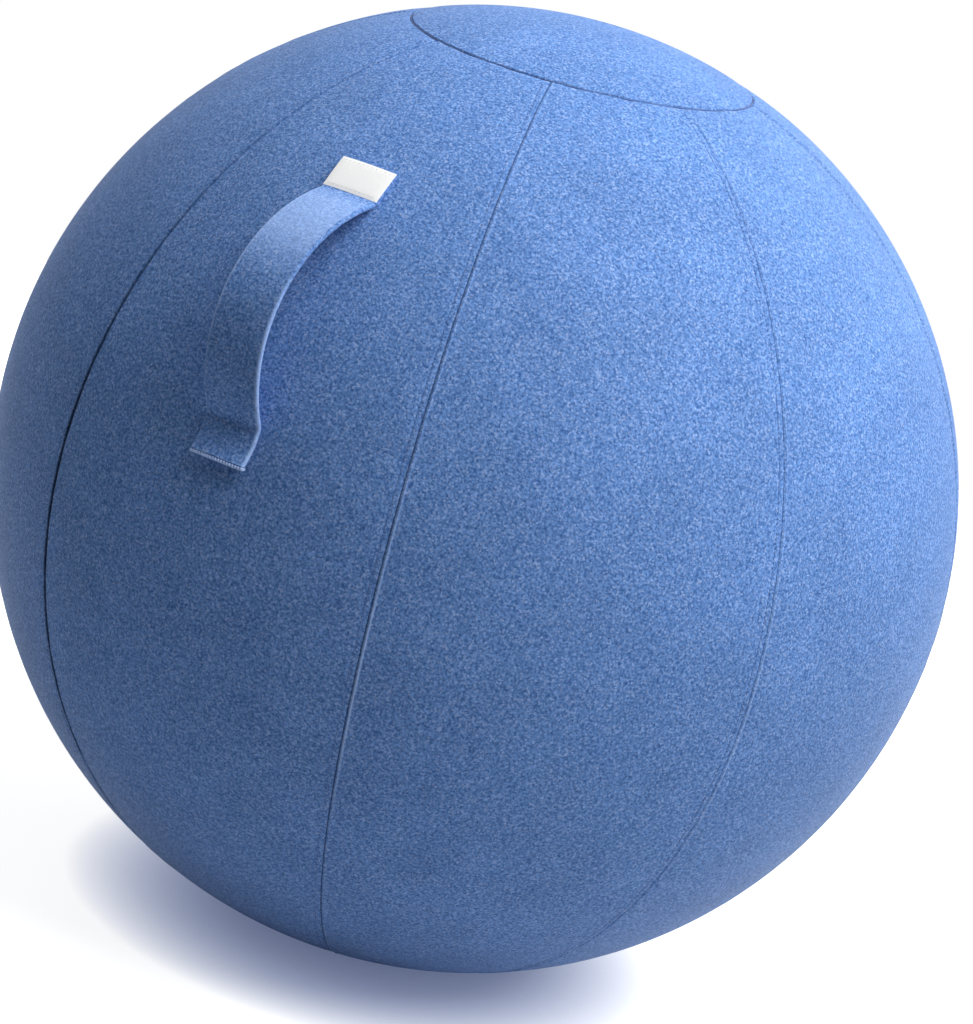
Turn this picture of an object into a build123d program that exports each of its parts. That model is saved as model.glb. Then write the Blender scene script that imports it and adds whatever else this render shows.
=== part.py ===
from build123d import *
import os
from math import asin, cos, degrees, pi, radians, sin, sqrt

# Driving sizes, in millimetres and degrees
BALL_DIAMETER = 650.0
CONTACT_DIAMETER = 120.0
CAP_DIAMETER = 232.0
GORE_COUNT = 8
ZIP_GORES = 5
CLOTH = 2.5
SEAM_GAP = 0.3
GORE_VALLEY = 1.1
CAP_VALLEY = 1.8
THREAD = 0.6
STITCH_INSET = 4.0

BALL_WALL = 1.2
BALL_CLEARANCE = 0.8
BALL_SEAT = 0.3
VALVE_DIAMETER = 18.0
VALVE_FLANGE = 28.0
VALVE_LENGTH = 22.0
PLUG_DIAMETER = 14.0
STEM_DIAMETER = 8.4

HANDLE_WIDTH = 40.0
HANDLE_TOP = 47.7
HANDLE_FOOT = 75.5
HANDLE_RISE = 38.5
HANDLE_SKEW = 0.26
HANDLE_LEAN = 1.9
STRAP = 3.0
TAB_LENGTH = 25.0
ROOT_LENGTH = 24.0
LABEL = 0.7
LABEL_STITCHES = 11

ZIP_OPENING = 7.4
CHAIN_WIDTH = 4.4
CHAIN_GAP = 1.2
TOOTH_PITCH = 3.0
TOOTH_WIDTH = 1.4
TOOTH_HEIGHT = 1.4
TAPE = 0.5
TAPE_WIDTH = 10.0
SLIDER_LENGTH = 11.0
SLIDER_WIDTH = 6.6
PIN_DIAMETER = 1.2
PULL_LENGTH = 20.0
PULL_WIDTH = 5.0
PULL_SLOPE = 5.0

# Sizes that follow from them
BALL = BALL_DIAMETER / 2
CENTRE_Z = sqrt(BALL**2 - (CONTACT_DIAMETER / 2) ** 2)
CAP_ANGLE = degrees(asin(CAP_DIAMETER / BALL_DIAMETER))
BASE_ANGLE = 180 - CAP_ANGLE
GORE_ANGLE = 360 / GORE_COUNT
FIRST_SEAM = -90 - GORE_ANGLE / 2
FIRST_ZIPPED = 4
ZIP_START = FIRST_SEAM + (FIRST_ZIPPED - 1) * GORE_ANGLE
ZIP_SWEEP = ZIP_GORES * GORE_ANGLE
SEAT = 0.05
RING = CAP_DIAMETER / 2


def arc_angle(length):
    """The angle at the ball's centre of a length along its surface."""
    return degrees(length / BALL)


def ring_angle(length):
    """The angle about the upright axis of a length along the base seam."""
    return degrees(length / RING)


def section(polar, radius):
    """A point of the upright section, by its angle from the top and its distance from the centre."""
    return Vector(radius * sin(radians(polar)), 0, CENTRE_Z + radius * cos(radians(polar)))


def swept(edges, start, sweep):
    """A closed outline in the upright section, turned about the ball's upright axis."""
    return Rot(0, 0, start) * revolve(Face(Wire(edges)), Axis.Z, sweep)


def zone(inner, outer, top, bottom, start, sweep):
    """A piece of spherical shell between two angles from the top."""
    middle = (top + bottom) / 2
    outline = [
        ThreePointArc(section(top, outer), section(middle, outer), section(bottom, outer)),
        Line(section(bottom, outer), section(bottom, inner)),
        ThreePointArc(section(bottom, inner), section(middle, inner), section(top, inner)),
        Line(section(top, inner), section(top, outer)),
    ]
    return swept(outline, start, sweep)


def zip_zone(inner, outer, near, far, start, sweep):
    """A strip along the base seam: heights from the cloth's face, widths from the seam line."""
    top = BASE_ANGLE + arc_angle(near)
    bottom = BASE_ANGLE + arc_angle(far)
    return zone(BALL + inner, BALL + outer, top, bottom, ZIP_START + start, sweep)


def flat_bottomed(radius, floor):
    """The outline of half a ball's section with a flat foot, from the top to the axis at the foot."""
    edge = sqrt(radius**2 - (CENTRE_Z - floor) ** 2)
    corner = Vector(edge, 0, floor)
    return [
        ThreePointArc(section(0, radius), section(90, radius), corner),
        Line(corner, Vector(0, 0, floor)),
    ]


def ring_tube(polar, depth, radius, start, sweep):
    """A round tube along a level seam, with its middle below the cloth's face by depth."""
    middle = section(polar, BALL - depth)
    circle = Edge.make_circle(radius, Plane(middle, x_dir=(1, 0, 0), z_dir=(0, 1, 0)))
    return swept([circle], start, sweep)


def meridian_tube(radius):
    """A round tube all along the upright seam line over +X."""
    return Pos(0, 0, CENTRE_Z) * Rot(90, 0, 0) * Torus(BALL, radius)


def zip_cuts():
    """The zip's open slot in the base seam and the pocket that its tapes are sewn into."""
    half = ZIP_OPENING / 2
    reach = CHAIN_WIDTH / 2 + TAPE_WIDTH + 0.1
    middle = -CLOTH / 2
    slot = zip_zone(-CLOTH - 1, 1, -half, half, 0, ZIP_SWEEP)
    pocket = zip_zone(middle - TAPE / 2 - SEAT, middle + TAPE / 2 + SEAT, -reach, reach, 0, ZIP_SWEEP)
    return [slot, pocket]


def gore(zipped):
    """One upright panel of the cover, its first seam over +X."""
    gap = arc_angle(SEAM_GAP / 2)
    panel = zone(BALL - CLOTH, BALL, CAP_ANGLE + gap, BASE_ANGLE - gap, gap, GORE_ANGLE - 2 * gap)
    panel -= meridian_tube(GORE_VALLEY)
    panel -= Rot(0, 0, GORE_ANGLE) * meridian_tube(GORE_VALLEY)
    panel -= ring_tube(CAP_ANGLE, 0, CAP_VALLEY, -GORE_ANGLE, 3 * GORE_ANGLE)
    if zipped:
        for cut in zip_cuts():
            panel -= Rot(0, 0, -ZIP_START - GORE_ANGLE) * cut
    else:
        panel -= ring_tube(BASE_ANGLE, 0, GORE_VALLEY, -GORE_ANGLE, 3 * GORE_ANGLE)
    return panel


def top_cap():
    """The round panel on top."""
    rim = CAP_ANGLE - arc_angle(SEAM_GAP / 2)
    panel = zone(BALL - CLOTH, BALL, 0, rim, 0, 360)
    return panel - ring_tube(CAP_ANGLE, 0, CAP_VALLEY, 0, 360)


def base_panel():
    """The round panel under the ball, flat where the ball stands."""
    rim = BASE_ANGLE + arc_angle(SEAM_GAP / 2)
    outer = flat_bottomed(BALL, 0)
    inner = flat_bottomed(BALL - CLOTH, CLOTH)
    foot = (outer[0] @ 1, inner[0] @ 1)
    outline = [
        ThreePointArc(section(rim, BALL), section((rim + 180 - foot_angle(BALL, 0)) / 2, BALL), foot[0]),
        outer[1],
        Line(Vector(0, 0, 0), Vector(0, 0, CLOTH)),
        Line(Vector(0, 0, CLOTH), foot[1]),
        ThreePointArc(
            foot[1],
            section((rim + 180 - foot_angle(BALL - CLOTH, CLOTH)) / 2, BALL - CLOTH),
            section(rim, BALL - CLOTH),
        ),
        Line(section(rim, BALL - CLOTH), section(rim, BALL)),
    ]
    panel = swept(outline, 0, 360)
    for cut in zip_cuts():
        panel -= cut
    return panel - ring_tube(BASE_ANGLE, 0, GORE_VALLEY, ZIP_START + ZIP_SWEEP, 360 - ZIP_SWEEP)


def foot_angle(radius, floor):
    """How far from straight down the flat foot reaches."""
    return degrees(asin(sqrt(radius**2 - (CENTRE_Z - floor) ** 2) / radius))


def gore_stitching():
    """The line of edge stitching beside each upright seam."""
    ring = sqrt(BALL**2 - STITCH_INSET**2) + THREAD / 2 + 0.03
    first = CAP_ANGLE + arc_angle(8)
    last = BASE_ANGLE - arc_angle(16)
    centre = Vector(0, 0, CENTRE_Z)
    beside = Vector(0, -STITCH_INSET, 0)
    lines = []
    for number in range(GORE_COUNT):
        start = centre + beside + Vector(ring * sin(radians(first)), 0, ring * cos(radians(first)))
        along = Vector(cos(radians(first)), 0, -sin(radians(first)))
        circle = Edge.make_circle(THREAD / 2, Plane(start, x_dir=(0, 1, 0), z_dir=along))
        axis = Axis(centre, (0, 1, 0))
        line = revolve(Face(Wire([circle])), axis, last - first)
        lines.append(Rot(0, 0, FIRST_SEAM + number * GORE_ANGLE) * line)
    return Compound(children=lines)


def ball_outline(radius, floor):
    return flat_bottomed(radius, floor)


def valve_plane():
    """The valve's place on the ball, between its flat foot and the base seam, looking outwards."""
    polar = (BASE_ANGLE + 180 - foot_angle(BALL, 0)) / 2
    out = Vector(0, sin(radians(polar)), cos(radians(polar)))
    radius = BALL - CLOTH - BALL_CLEARANCE
    return Plane(Vector(0, 0, CENTRE_Z) + out * radius, x_dir=(1, 0, 0), z_dir=out)


def inner_ball():
    """The blown-up ball, flat where it stands, with a hole for its valve."""
    radius = BALL - CLOTH - BALL_CLEARANCE
    floor = CLOTH + BALL_SEAT
    outer = flat_bottomed(radius, floor)
    inner = flat_bottomed(radius - BALL_WALL, floor + BALL_WALL)
    outline = [
        *outer,
        Line(Vector(0, 0, floor), Vector(0, 0, floor + BALL_WALL)),
        *inner,
        Line(section(0, radius - BALL_WALL), section(0, radius)),
    ]
    hole = valve_plane() * Cylinder(VALVE_DIAMETER / 2 + SEAT, 12)
    return swept(outline, 0, 360) - hole


def disc(diameter, bottom, top):
    """An upright round block between two heights."""
    return Pos(0, 0, (bottom + top) / 2) * Cylinder(diameter / 2, top - bottom)


def valve_socket():
    """The thick ring welded into the ball's wall, with a bore and a seat for the plug."""
    sag = (VALVE_FLANGE / 2) ** 2 / (BALL_DIAMETER - 20)
    under = -BALL_WALL - sag - 0.1
    body = disc(VALVE_DIAMETER, under - 1, -0.2)
    body += disc(VALVE_FLANGE, under - 2, under)
    body += disc(PLUG_DIAMETER, -VALVE_LENGTH, under - 1)
    body -= disc(STEM_DIAMETER, -VALVE_LENGTH - 1, 1)
    body -= disc(PLUG_DIAMETER + 0.4, -2, 1)
    return valve_plane() * body


def valve_plug():
    """The plug pushed into the valve: a flat head and a stem with a rounded end."""
    head = disc(PLUG_DIAMETER, -2 + SEAT, -0.4)
    stem = disc(STEM_DIAMETER - 0.1, -VALVE_LENGTH + 2, -1)
    tip = stem.edges().filter_by(GeomType.CIRCLE).sort_by(Axis.Z)[0]
    return valve_plane() * (head + fillet(tip, 2))


def handle_point(polar, radius, across=0.0):
    """A point in front of the ball, by its angle from the top, its height over the centre and its side."""
    ring = sqrt(radius**2 - across**2)
    return Vector(across, -ring * sin(radians(polar)), CENTRE_Z + ring * cos(radians(polar)))


def leaned(piece):
    """A piece of the handle turned with it: the strap is sewn on a little askew, lower end to the right."""
    pivot = HANDLE_TOP - 17.7
    centre = Pos(0, 0, CENTRE_Z)
    turn = Rot(pivot, 0, 0) * Rot(0, 0, HANDLE_LEAN) * Rot(-pivot, 0, 0)
    return centre * turn * Pos(0, 0, -CENTRE_Z) * piece


def strap_band():
    """The strap's free loop: a low arch over the ball, as wide as the strap."""
    count = 16
    base = BALL + SEAT + STRAP / 2
    middle = []
    for i in range(count + 1):
        f = i / count
        polar = HANDLE_TOP + f * (HANDLE_FOOT - HANDLE_TOP)
        rise = 4 * HANDLE_RISE * f * (1 - f) * (1 + HANDLE_SKEW * (f - 0.5))
        middle.append(handle_point(polar, base + rise))
    outside = []
    inside = []
    for i in range(count + 1):
        way = middle[min(i + 1, count)] - middle[max(i - 1, 0)]
        out = way.cross(Vector(1, 0, 0)).normalized() * (STRAP / 2)
        outside.append(middle[i] + out)
        inside.append(middle[i] - out)
    outline = [
        Spline(*outside),
        Line(outside[-1], inside[-1]),
        Spline(*reversed(inside)),
        Line(inside[0], outside[0]),
    ]
    return extrude(Face(Wire(outline)), HANDLE_WIDTH / 2, dir=(1, 0, 0), both=True)


def chord_plane():
    """The frame of the line through the strap's two sewn ends: Z along it, from the upper end."""
    upper = handle_point(HANDLE_TOP, BALL + SEAT + STRAP / 2)
    lower = handle_point(HANDLE_FOOT, BALL + SEAT + STRAP / 2)
    return Plane(upper, x_dir=(1, 0, 0), z_dir=lower - upper), (lower - upper).length


def chord_slab(start, end):
    """Everything near the handle between two distances along the line through its ends."""
    plane, _ = chord_plane()
    return plane * Pos(0, 0, (start + end) / 2) * Box(4 * HANDLE_WIDTH, 400, end - start)


def patch(bottom, top, first, last, width):
    """A piece lying on the ball's front: heights from the cloth's face, angles from the top."""
    low = BALL + bottom
    high = BALL + top
    corners = [
        handle_point(first, low - 6),
        handle_point(last, low - 6),
        handle_point(last, high + 6),
        handle_point(first, high + 6),
    ]
    block = extrude(Face(Wire.make_polygon(corners)), width / 2, dir=(1, 0, 0), both=True)
    middle = Pos(0, 0, CENTRE_Z)
    return (block & middle * Sphere(high)) - middle * Sphere(low)


def handle_strap():
    """The free arch of the strap, which swings."""
    _, length = chord_plane()
    return strap_band() & chord_slab(ROOT_LENGTH, length - ROOT_LENGTH)


def handle_upper_end():
    """The strap's upper end: the flat tab that is sewn down and the start of the arch."""
    tab = patch(SEAT, SEAT + STRAP, HANDLE_TOP - arc_angle(TAB_LENGTH), HANDLE_TOP, HANDLE_WIDTH)
    return tab + (strap_band() & chord_slab(-60, ROOT_LENGTH - SEAM_GAP))


def handle_lower_end():
    """The strap's lower end: the flat tab that is sewn down and the end of the arch."""
    _, length = chord_plane()
    tab = patch(SEAT, SEAT + STRAP, HANDLE_FOOT, HANDLE_FOOT + arc_angle(TAB_LENGTH), HANDLE_WIDTH)
    return tab + (strap_band() & chord_slab(length - ROOT_LENGTH + SEAM_GAP, length + 60))


def handle_label():
    """The bare label over the strap's upper end."""
    bottom = STRAP + 2 * SEAT
    first = HANDLE_TOP - arc_angle(TAB_LENGTH)
    last = HANDLE_TOP - arc_angle(0.4 * STRAP)
    return patch(bottom, bottom + LABEL, first, last, HANDLE_WIDTH)


def stitch_row(height, polar):
    """A row of stitches across the strap, lying on a face at a height over the cloth."""
    pitch = (HANDLE_WIDTH - 4) / LABEL_STITCHES
    radius = BALL + height + THREAD / 2 + 0.03
    row = []
    for i in range(LABEL_STITCHES):
        across = (i + 0.5) * pitch - (HANDLE_WIDTH - 4) / 2
        place = handle_point(polar, radius, across)
        out = place - Vector(0, 0, CENTRE_Z)
        lie = Plane(place, x_dir=(0, 1, 0), z_dir=Vector(1, 0, 0) - out * (across / radius**2))
        row.append(lie * Cylinder(THREAD / 2, 0.7 * pitch))
    return row


def label_stitches():
    """The two rows of stitches through the label and the strap's upper end."""
    height = STRAP + 2 * SEAT + LABEL
    rows = stitch_row(height, HANDLE_TOP - arc_angle(TAB_LENGTH - 2))
    rows += stitch_row(height, HANDLE_TOP - arc_angle(3.5))
    return Compound(children=rows)


def tab_stitches():
    """The row of stitches through the strap's lower end, beside the fold."""
    return Compound(children=stitch_row(SEAT + STRAP, HANDLE_FOOT + arc_angle(3)))


def zip_tape(side):
    """One of the zip's woven tapes, in the pocket in a panel's edge."""
    near = CHAIN_WIDTH / 2 + SEAT
    far = CHAIN_WIDTH / 2 + TAPE_WIDTH
    ends = sorted((side * near, side * far))
    middle = -CLOTH / 2
    return zip_zone(middle - TAPE / 2, middle + TAPE / 2, *ends, 0.1, ZIP_SWEEP - 0.2)


def zip_frame(turn, height):
    """The frame of a place on the zip's line: X along the zip, Z outwards from the cloth."""
    place = section(BASE_ANGLE, BALL + height)
    out = Vector(sin(radians(BASE_ANGLE)), 0, cos(radians(BASE_ANGLE)))
    return Rot(0, 0, ZIP_START + turn) * Plane(place, x_dir=(0, 1, 0), z_dir=out).location


def zip_ends():
    """The turns from the zip's start at which its teeth begin and end."""
    stop = ring_angle(5)
    return stop, ZIP_SWEEP - stop


def zip_teeth(side):
    """One row of moulded teeth along a tape's edge."""
    first, last = zip_ends()
    pitch = ring_angle(TOOTH_PITCH)
    length = (CHAIN_WIDTH - CHAIN_GAP) / 2
    offset = -side * (CHAIN_GAP + length) / 2
    shift = 0.5 if side > 0 else 0
    teeth = []
    for i in range(int((last - first) / pitch) - 1):
        turn = first + (i + 0.5 + shift) * pitch
        tooth = Pos(0, offset, 0) * Box(TOOTH_WIDTH, length, TOOTH_HEIGHT)
        teeth.append(zip_frame(turn, -CLOTH / 2) * tooth)
    return Compound(children=teeth)


def zip_stops():
    """The stops that keep the slider on: one on each row at the closed end, a block at the open end."""
    first, last = zip_ends()
    length = (CHAIN_WIDTH - CHAIN_GAP) / 2
    width = TOOTH_PITCH * 0.6
    stops = []
    for side in (-1, 1):
        stop = Pos(0, side * (CHAIN_GAP + length) / 2, 0) * Box(width, length, TOOTH_HEIGHT)
        stops.append(zip_frame(first / 2, -CLOTH / 2) * stop)
    block = Box(width, CHAIN_WIDTH, TOOTH_HEIGHT)
    stops.append(zip_frame(last + first / 2, -CLOTH / 2) * block)
    return Compound(children=stops)


def slider_turn():
    """The slider's place when the zip is closed, from the zip's start."""
    return zip_ends()[0] + ring_angle(SLIDER_LENGTH / 2)


def pin_height():
    """The pull's pin over the cloth's face."""
    return 1.2 + PIN_DIAMETER


def zip_slider():
    """The slider: two plates with turned-in edges round the teeth, a blade between them, and a pin on two lugs."""
    sweep = ring_angle(SLIDER_LENGTH)
    start = slider_turn() - sweep / 2
    half = SLIDER_WIDTH / 2
    edge = half - 0.8
    middle = -CLOTH / 2
    over = middle + TOOTH_HEIGHT / 2 + 0.3
    under = middle - TOOTH_HEIGHT / 2 - 0.3
    lip = TAPE / 2 + 0.3
    body = zip_zone(over, over + 1, -half, half, start, sweep)
    body += zip_zone(under - 0.75, under, -half, half, start, sweep)
    for near, far in ((-half, -edge), (edge, half)):
        body += zip_zone(middle + lip, over + 0.1, near, far, start, sweep)
        body += zip_zone(under - 0.1, middle - lip, near, far, start, sweep)
    blade = CHAIN_GAP / 2 - 0.3
    body += zip_zone(under - 0.1, over + 0.1, -blade, blade, start + sweep / 2, sweep / 3)
    foot = over + 0.5
    top = pin_height() + PIN_DIAMETER / 2 + 0.3
    for side in (-1, 1):
        lug = Pos(0, side * (PULL_WIDTH / 4 + 0.75), (foot + top) / 2) * Box(2.4, 0.9, top - foot)
        body += zip_frame(slider_turn(), 0) * lug
    pin = Pos(0, 0, pin_height()) * Rot(90, 0, 0) * Cylinder(PIN_DIAMETER / 2, PULL_WIDTH / 2 + 1.5)
    return body + zip_frame(slider_turn(), 0) * pin


def zip_pull():
    """The pull: an eye round the pin, a neck between the lugs, and a flat tab with a hole."""
    eye = Rot(90, 0, 0) * Cylinder(PIN_DIAMETER / 2 + 0.7, PULL_WIDTH / 2)
    neck = Pos(2.5, 0, 0) * Box(5, PULL_WIDTH / 2, 1.1)
    tab = Pos(4 + (PULL_LENGTH - 4) / 2, 0, 0) * Box(PULL_LENGTH - 4, PULL_WIDTH, 1.1)
    tab = fillet(tab.edges().filter_by(Axis.Z), PULL_WIDTH * 0.3)
    pull = eye + neck + tab
    pull -= Rot(90, 0, 0) * Cylinder(PIN_DIAMETER / 2 + 0.06, PULL_WIDTH)
    pull -= Pos(PULL_LENGTH - 4, 0, 0) * Cylinder(PULL_WIDTH * 0.25, 4)
    return zip_frame(slider_turn(), pin_height()) * Rot(0, PULL_SLOPE, 0) * pull


os.makedirs("parts", exist_ok=True)

export_step(inner_ball(), "parts/inner_ball.step")
export_step(valve_socket(), "parts/valve_socket.step")
export_step(valve_plug(), "parts/valve_plug.step")

plain_gore = gore(False)
zipped_gore = gore(True)
for number in range(1, GORE_COUNT + 1):
    is_zipped = FIRST_ZIPPED <= number < FIRST_ZIPPED + ZIP_GORES
    panel = zipped_gore if is_zipped else plain_gore
    place = Rot(0, 0, FIRST_SEAM + (number - 1) * GORE_ANGLE)
    export_step(place * panel, f"parts/cover_gore_{number}.step")
export_step(top_cap(), "parts/top_cap.step")
export_step(base_panel(), "parts/base_panel.step")

export_step(gore_stitching(), "parts/gore_stitching.step")
cap_thread = ring_tube(CAP_ANGLE, CAP_VALLEY - THREAD / 2 - SEAT, THREAD / 2, 0, 360)
export_step(cap_thread, "parts/cap_thread.step")
base_thread = ring_tube(
    BASE_ANGLE, GORE_VALLEY - THREAD / 2 - SEAT, THREAD / 2, ZIP_START + ZIP_SWEEP + 0.5, 359 - ZIP_SWEEP
)
export_step(base_thread, "parts/base_thread.step")

export_step(zip_tape(-1), "parts/zip_tape_outer.step")
export_step(zip_tape(1), "parts/zip_tape_inner.step")
export_step(zip_teeth(-1), "parts/zip_teeth_outer.step")
export_step(zip_teeth(1), "parts/zip_teeth_inner.step")
export_step(zip_stops(), "parts/zip_stops.step")
export_step(zip_slider(), "parts/zip_slider.step")
export_step(zip_pull(), "parts/zip_pull.step")

export_step(leaned(handle_strap()), "parts/handle_strap.step")
export_step(leaned(handle_upper_end()), "parts/handle_upper_end.step")
export_step(leaned(handle_lower_end()), "parts/handle_lower_end.step")
export_step(leaned(handle_label()), "parts/handle_label.step")
export_step(leaned(label_stitches()), "parts/label_stitches.step")
export_step(leaned(tab_stitches()), "parts/tab_stitches.step")
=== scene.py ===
import math
import random

import bpy
import numpy as np
from mathutils import Matrix, Vector


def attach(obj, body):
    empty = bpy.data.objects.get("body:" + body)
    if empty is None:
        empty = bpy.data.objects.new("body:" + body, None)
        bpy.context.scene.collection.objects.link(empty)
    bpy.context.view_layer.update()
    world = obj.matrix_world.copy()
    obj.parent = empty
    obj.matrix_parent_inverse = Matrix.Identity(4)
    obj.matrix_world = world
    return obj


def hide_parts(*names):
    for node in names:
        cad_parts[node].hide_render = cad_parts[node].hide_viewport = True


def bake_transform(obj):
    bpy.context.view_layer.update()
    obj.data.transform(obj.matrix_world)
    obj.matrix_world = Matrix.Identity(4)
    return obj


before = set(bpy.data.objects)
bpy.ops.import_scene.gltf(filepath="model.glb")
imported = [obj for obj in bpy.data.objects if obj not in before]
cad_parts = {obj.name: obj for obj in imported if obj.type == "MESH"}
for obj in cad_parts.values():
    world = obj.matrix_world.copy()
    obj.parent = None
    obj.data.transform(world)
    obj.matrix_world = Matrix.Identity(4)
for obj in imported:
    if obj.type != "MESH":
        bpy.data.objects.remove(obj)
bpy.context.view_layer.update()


# Inner ball: a moulded PVC ball about a millimetre thick, blown up until it fills the cover.
# The cover hides it all round. Grey vinyl with the satin face that the mould leaves.
def linear(hex_colour):
    """An sRGB hex value as linear light."""
    parts = [int(hex_colour[i : i + 2], 16) / 255 for i in (1, 3, 5)]
    light = [c / 12.92 if c <= 0.04045 else ((c + 0.055) / 1.055) ** 2.4 for c in parts]
    return (*light, 1.0)


def add(tree, kind, inputs=None, **settings):
    """Adds a node with its settings, and sets or links its inputs."""
    made = tree.nodes.new(kind)
    for key, value in settings.items():
        setattr(made, key, value)
    for key, value in (inputs or {}).items():
        if isinstance(value, bpy.types.NodeSocket):
            tree.links.new(value, made.inputs[key])
        else:
            made.inputs[key].default_value = value
    return made


def new_material(name):
    """A material with an empty node tree."""
    material = bpy.data.materials.new(name)
    material.use_nodes = True
    material.node_tree.nodes.clear()
    return material, material.node_tree


def dress(piece, material):
    """Gives a piece one material."""
    piece.data.materials.clear()
    piece.data.materials.append(material)


# Moulded PVC: soft grey with faint clouds of about 40 mm, and a grain of about 1.5 mm from the
# mould's blasted face. In a Mix node, input 0 is the share and 6 and 7 are the two colours.
vinyl, tree = new_material("moulded_pvc")
place = add(tree, "ShaderNodeTexCoord").outputs["Object"]
cloud = add(tree, "ShaderNodeTexNoise", {"Vector": place, "Scale": 1 / 0.04, "Detail": 3.0})
tone = add(
    tree,
    "ShaderNodeMix",
    {0: cloud.outputs[0], 6: linear("#7c8086"), 7: linear("#8c9096")},
    data_type="RGBA",
)
grain = add(tree, "ShaderNodeTexNoise", {"Vector": place, "Scale": 1 / 0.0015, "Detail": 2.0})
relief = add(
    tree,
    "ShaderNodeBump",
    {"Height": grain.outputs[0], "Strength": 0.3, "Distance": 0.0001},
)
surface = add(
    tree,
    "ShaderNodeBsdfPrincipled",
    {
        "Base Color": tone.outputs[2],
        "Roughness": 0.45,
        "IOR": 1.53,
        "Normal": relief.outputs[0],
    },
)
add(tree, "ShaderNodeOutputMaterial", {"Surface": surface.outputs[0]})
dress(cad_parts["inner_ball"], vinyl)


# Valve: a thick PVC socket welded into the ball's wall near the foot, and a push-in plug.
# Both are moulded in off-white vinyl, and lie under the base panel.
# Moulded white PVC: the same soft satin face, with finer clouds and grain on so small a piece.
valve_vinyl, tree = new_material("moulded_white_pvc")
place = add(tree, "ShaderNodeTexCoord").outputs["Object"]
cloud = add(tree, "ShaderNodeTexNoise", {"Vector": place, "Scale": 1 / 0.008, "Detail": 3.0})
tone = add(
    tree,
    "ShaderNodeMix",
    {0: cloud.outputs[0], 6: linear("#dcdad2"), 7: linear("#eae8e2")},
    data_type="RGBA",
)
grain = add(tree, "ShaderNodeTexNoise", {"Vector": place, "Scale": 1 / 0.0006, "Detail": 2.0})
relief = add(
    tree,
    "ShaderNodeBump",
    {"Height": grain.outputs[0], "Strength": 0.2, "Distance": 0.00005},
)
surface = add(
    tree,
    "ShaderNodeBsdfPrincipled",
    {
        "Base Color": tone.outputs[2],
        "Roughness": 0.4,
        "IOR": 1.53,
        "Normal": relief.outputs[0],
    },
)
add(tree, "ShaderNodeOutputMaterial", {"Surface": surface.outputs[0]})
dress(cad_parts["valve_socket"], valve_vinyl)
dress(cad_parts["valve_plug"], valve_vinyl)


# Cover gores: eight tapered panels of mottled blue polyester cloth, sewn edge to edge and drawn
# tight over the ball. The right panel stands up in a fine bead beside each seam, and the left one
# carries edge stitching. Gores 4 to 8 end at the zip, the others at the base panel's seam.
BALL = 0.325
FOOT_RADIUS = 0.06
CENTRE = math.sqrt(BALL**2 - FOOT_RADIUS**2)
PANEL_RADIUS = 0.116
CAP = math.asin(PANEL_RADIUS / BALL)
GORES = 8
FIRST_ZIPPED = 4
GORE = math.tau / GORES
FIRST_SEAM = -math.pi / 2 - GORE / 2
CLOTH = 0.0025
LEAST_CLOTH = 0.0003
SEAM_GAP = 0.0007
SEAM_ROLL = 0.0005
SEAM_DIP = 0.0003
SEAM_DIP_REACH = 0.004
BEAD_INSET = 0.0016
BEAD_HALF = 0.0007
BEAD_RISE = 0.0004
MOST_RISE = 0.0009
STITCH_INSET = 0.004
FURROW = 0.00025
FURROW_HALF = 0.0008
PUCKER = 0.00025
PUCKER_REACH = 0.008
PUCKER_WAVES = (0.018, 0.029, 0.047)
CAP_DITCH = 0.0007
CAP_ROLL = 0.0008
CAP_DIP = 0.0009
CAP_PUCKER = 0.0004
CAP_SEED = 20
ZIP_HALF = 0.0037
GORE_ROWS = 124
GORE_COLUMNS = 14
# How far each seam is drawn in, how dark the painted shade in its crease is and how strong the
# painted highlight on its bead is, by the number of the gore on its right. The seams that aren't
# named are plain.
SEAM_PULL = {1: 2.3, 2: 0.65, 3: 0.4}
PLAIN_PULL = 1.0
SEAM_SHADE = {1: 0.9, 2: 0.2, 3: 0.1}
PLAIN_SHADE = 0.2
BEAD_HIGHLIGHT = {2: 1.0, 3: 0.5}
PLAIN_HIGHLIGHT = 0.3


def on_ball(polar, azimuth, radius):
    """Points by angle from the top, turn about the upright axis and distance from the centre."""
    ring = radius * np.sin(polar)
    height = CENTRE + radius * np.cos(polar)
    return np.stack([ring * np.cos(azimuth), ring * np.sin(azimuth), height], -1)


def rolled(distance, radius):
    """How far an edge turned down in a round fold lies below the face, by distance from the edge."""
    inside = np.clip(radius - distance, 0, radius)
    return radius - np.sqrt(radius**2 - inside**2)


def spaced(near, whole, count):
    """Distances along a width: close together at both edges, even between."""
    ends = np.array(near)
    between = np.linspace(ends[-1], whole - ends[-1], count + 2)[1:-1]
    return np.concatenate([ends, between, whole - ends[::-1]])


def puckers(along, seed):
    """Small waves along a seam, where the thread draws the cloth in."""
    pick = random.Random(seed)
    waves = []
    for length in PUCKER_WAVES:
        waves.append(np.sin(math.tau * along / length + pick.uniform(0, math.tau)))
    return sum(waves) / len(waves)


def new_piece(name, points, faces):
    """A smooth mesh piece with its sharp folds kept."""
    mesh = bpy.data.meshes.new(name)
    corners = [tuple(int(i) for i in face) for face in faces]
    mesh.from_pydata(np.asarray(points).tolist(), [], corners)
    mesh.polygons.foreach_set("use_smooth", np.ones(len(mesh.polygons), bool))
    mesh.set_sharp_from_angle(angle=math.radians(55))
    mesh.update()
    piece = bpy.data.objects.new(name, mesh)
    bpy.context.scene.collection.objects.link(piece)
    return piece


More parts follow.
